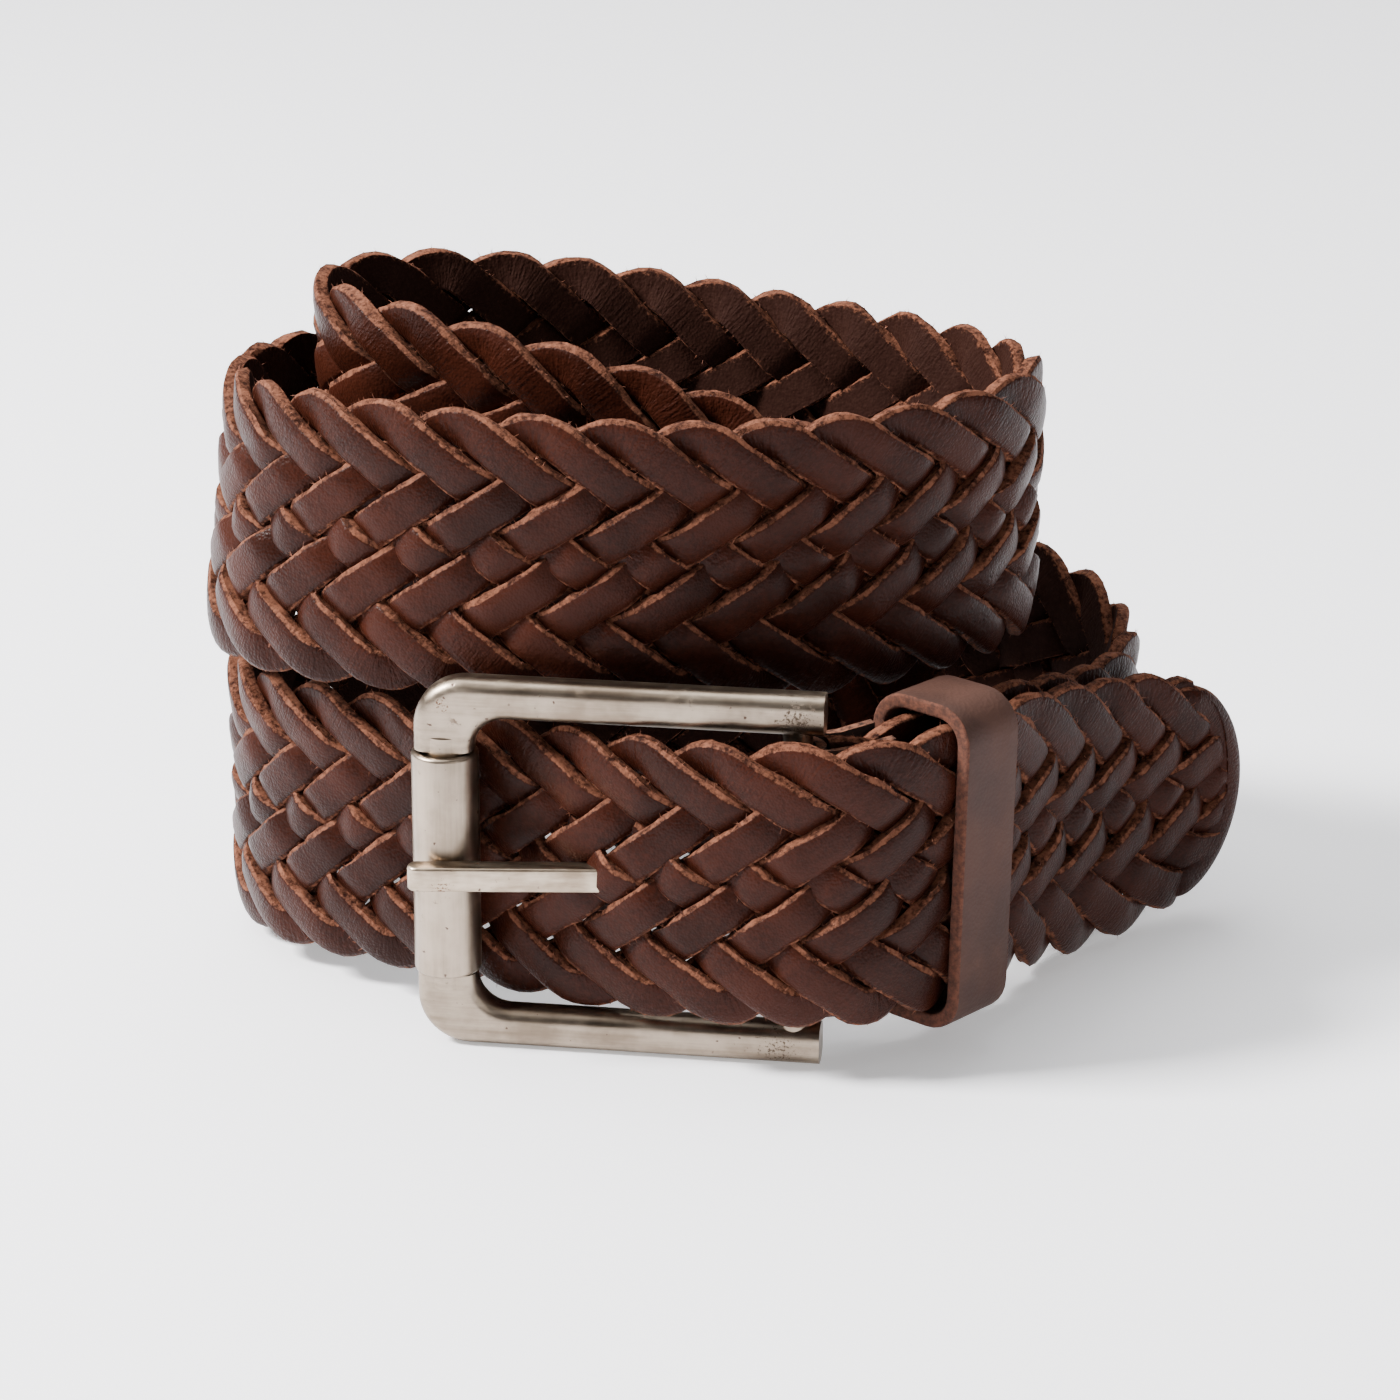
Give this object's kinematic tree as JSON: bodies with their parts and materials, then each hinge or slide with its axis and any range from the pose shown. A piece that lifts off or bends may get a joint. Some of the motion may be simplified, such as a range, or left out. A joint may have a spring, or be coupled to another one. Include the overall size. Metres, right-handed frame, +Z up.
{
  "type": "braided leather belt",
  "caption": "Flat-braided leather belt wound in a loose standing coil, its rounded end led behind a roller buckle and through a plain leather keeper.",
  "frame": {"origin": "on the surface the belt stands on, under the middle of the whole belt", "axes": "+Z up, along the strap's width; +X from the buckle's roller towards the free tip; the buckle faces -Y"},
  "size_m": [0.1476, 0.1052, 0.0934],
  "materials": {
    "braided_leather": "semi-matt, dark reddish brown, rougher and lighter at the cut edges of the strands",
    "plain_leather": "matt, greyish dark brown, creased",
    "satin_metal": "satin, slightly worn, dark where the plating is rubbed"
  },
  "bodies": {
    "belt": {"braided_strap": "braided_leather", "buckle_chape": "plain_leather", "keeper_loop": "plain_leather", "buckle_frame": "satin_metal", "prong": "satin_metal"},
    "roller": {"roller": "satin_metal"}
  },
  "joints": [
    {"name": "roller_spin", "type": "hinge", "parent": "belt", "child": "roller", "pos_m": [-0.03832, -0.03728, 0.0262], "axis": [0, 0, 1], "continuous": true}
  ]
}
